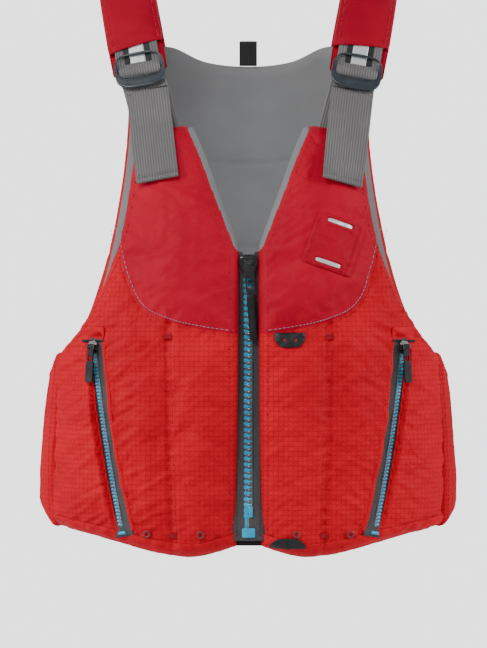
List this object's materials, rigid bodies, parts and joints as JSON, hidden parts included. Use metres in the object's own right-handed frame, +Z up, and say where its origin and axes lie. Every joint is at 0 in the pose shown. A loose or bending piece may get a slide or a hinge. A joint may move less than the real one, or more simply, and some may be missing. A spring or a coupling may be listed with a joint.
{
  "type": "life jacket",
  "caption": "Front-opening paddling life jacket with foam panels, a centre zip, zipped pockets and adjustable shoulder straps.",
  "frame": {"origin": "middle of the width and depth, at the lowest point of the front hem", "axes": "+Z up, +X to the wearer's left, the front zip faces -Y"},
  "size_m": [0.4582, 0.3105, 0.6387],
  "materials": {
    "outer_fabric": "red ripstop nylon",
    "yoke_fabric": "crimson plain-weave nylon",
    "liner_fabric": "grey plain-weave liner",
    "foam": "closed-cell flotation foam",
    "mesh_fabric": "black open mesh",
    "webbing": "grey ribbed polyester webbing",
    "black_webbing": "black webbing",
    "buckle_plastic": "slate acetal, satin",
    "zip_tape": "grey knitted zip tape",
    "zip_teeth": "turquoise moulded teeth",
    "zip_metal": "black painted zinc",
    "rubber_parts": "moulded black rubber"
  },
  "bodies": {
    "back": {"back_foam": "foam", "back_cover": "outer_fabric", "back_liner": "liner_fabric", "back_mesh": "mesh_fabric", "back_hem_band": "black_webbing", "hang_loop": "black_webbing", "rear_shoulder_pads": "outer_fabric", "side_straps": "black_webbing", "side_ladder_locks": "buckle_plastic", "right_side_panel": "outer_fabric", "left_side_panel": "outer_fabric"},
    "right_front": {"right_yoke_foam": "foam", "right_centre_foam": "foam", "right_side_foam": "foam", "right_yoke_cover": "yoke_fabric", "right_front_cover": "outer_fabric", "right_front_liner": "liner_fabric", "right_pocket_lining": "liner_fabric", "right_hem_binding": "outer_fabric", "right_hem_eyelets": "zip_metal", "right_pocket_zip": "zip_teeth", "right_front_shoulder_pad": "outer_fabric", "right_shoulder_webbing": "webbing", "right_chest_webbing": "webbing", "right_zip_tape": "zip_tape", "right_zip_teeth": "zip_teeth", "zip_insertion_pin": "zip_teeth"},
    "right_shoulder_lock": {"right_ladder_lock": "buckle_plastic", "right_webbing_wrap": "webbing"},
    "right_tail": {"right_strap_tail": "webbing"},
    "right_pocket_slider_body": {"right_pocket_slider": "zip_metal"},
    "right_pocket_pull_body": {"right_pocket_pull": "rubber_parts"},
    "left_front": {"left_yoke_foam": "foam", "left_centre_foam": "foam", "left_side_foam": "foam", "left_yoke_cover": "yoke_fabric", "left_front_cover": "outer_fabric", "left_front_liner": "liner_fabric", "left_pocket_lining": "liner_fabric", "left_hem_binding": "outer_fabric", "left_hem_eyelets": "zip_metal", "left_pocket_zip": "zip_teeth", "left_front_shoulder_pad": "outer_fabric", "left_shoulder_webbing": "webbing", "left_chest_webbing": "webbing", "left_zip_tape": "zip_tape", "left_zip_teeth": "zip_teeth", "zip_retainer_box": "zip_teeth", "zip_base_stay": "black_webbing", "lash_patch": "yoke_fabric", "rubber_lash_tab": "rubber_parts", "hem_half_moon": "rubber_parts"},
    "left_shoulder_lock": {"left_ladder_lock": "buckle_plastic", "left_webbing_wrap": "webbing"},
    "left_tail": {"left_strap_tail": "webbing"},
    "left_pocket_slider_body": {"left_pocket_slider": "zip_metal"},
    "left_pocket_pull_body": {"left_pocket_pull": "rubber_parts"},
    "front_slider_body": {"front_zip_slider": "zip_metal"},
    "front_pull_body": {"front_zip_pull": "zip_metal", "front_zip_tab": "rubber_parts"}
  },
  "joints": [
    {"name": "right_front_swing", "type": "hinge", "parent": "back", "child": "right_front", "pos_m": [-0.213, -0.054, 0.12], "axis": [0, -0.035, -0.9994], "range_deg": [0, 60]},
    {"name": "right_pocket_zip_slide", "type": "slide", "parent": "right_front", "child": "right_pocket_slider_body", "axis": [0.1515, -0.0494, -0.9872], "range_m": [0, 0.186]},
    {"name": "right_pocket_pull_hinge", "type": "hinge", "parent": "right_pocket_slider_body", "child": "right_pocket_pull_body", "pos_m": [-0.16651, -0.11603, 0.22287], "axis": [-0.8774, 0.4717, 0.0877], "range_deg": [0, 120]},
    {"name": "right_shoulder_lock_tilt", "type": "hinge", "parent": "right_front", "child": "right_shoulder_lock", "pos_m": [-0.11972, -0.06083, 0.53577], "axis": [-0.9833, 0, -0.1822], "range_deg": [0, 30]},
    {"name": "right_strap_tail_flip", "type": "hinge", "parent": "right_shoulder_lock", "child": "right_tail", "pos_m": [-0.11272, -0.07905, 0.498], "axis": [-0.9833, 0, -0.1822], "range_deg": [0, 60]},
    {"name": "left_front_swing", "type": "hinge", "parent": "back", "child": "left_front", "pos_m": [0.213, -0.054, 0.12], "axis": [0, 0.035, 0.9994], "range_deg": [0, 60]},
    {"name": "left_pocket_zip_slide", "type": "slide", "parent": "left_front", "child": "left_pocket_slider_body", "axis": [-0.1515, -0.0497, -0.9872], "range_m": [0, 0.186]},
    {"name": "left_pocket_pull_hinge", "type": "hinge", "parent": "left_pocket_slider_body", "child": "left_pocket_pull_body", "pos_m": [0.16651, -0.11603, 0.22287], "axis": [-0.8774, -0.4717, -0.0877], "range_deg": [0, 120]},
    {"name": "left_shoulder_lock_tilt", "type": "hinge", "parent": "left_front", "child": "left_shoulder_lock", "pos_m": [0.11972, -0.06083, 0.53577], "axis": [-0.9833, 0, 0.1822], "range_deg": [0, 30]},
    {"name": "left_strap_tail_flip", "type": "hinge", "parent": "left_shoulder_lock", "child": "left_tail", "pos_m": [0.11272, -0.07905, 0.498], "axis": [-0.9833, 0, 0.1822], "range_deg": [0, 60]},
    {"name": "front_zip_slide", "type": "slide", "parent": "left_front", "child": "front_slider_body", "axis": [0, 0, -1], "range_m": [0, 0.262]},
    {"name": "front_zip_pull_hinge", "type": "hinge", "parent": "front_slider_body", "child": "front_pull_body", "pos_m": [0, -0.139, 0.312], "axis": [-0.9976, 0, -0.0698], "range_deg": [0, 150]}
  ]
}
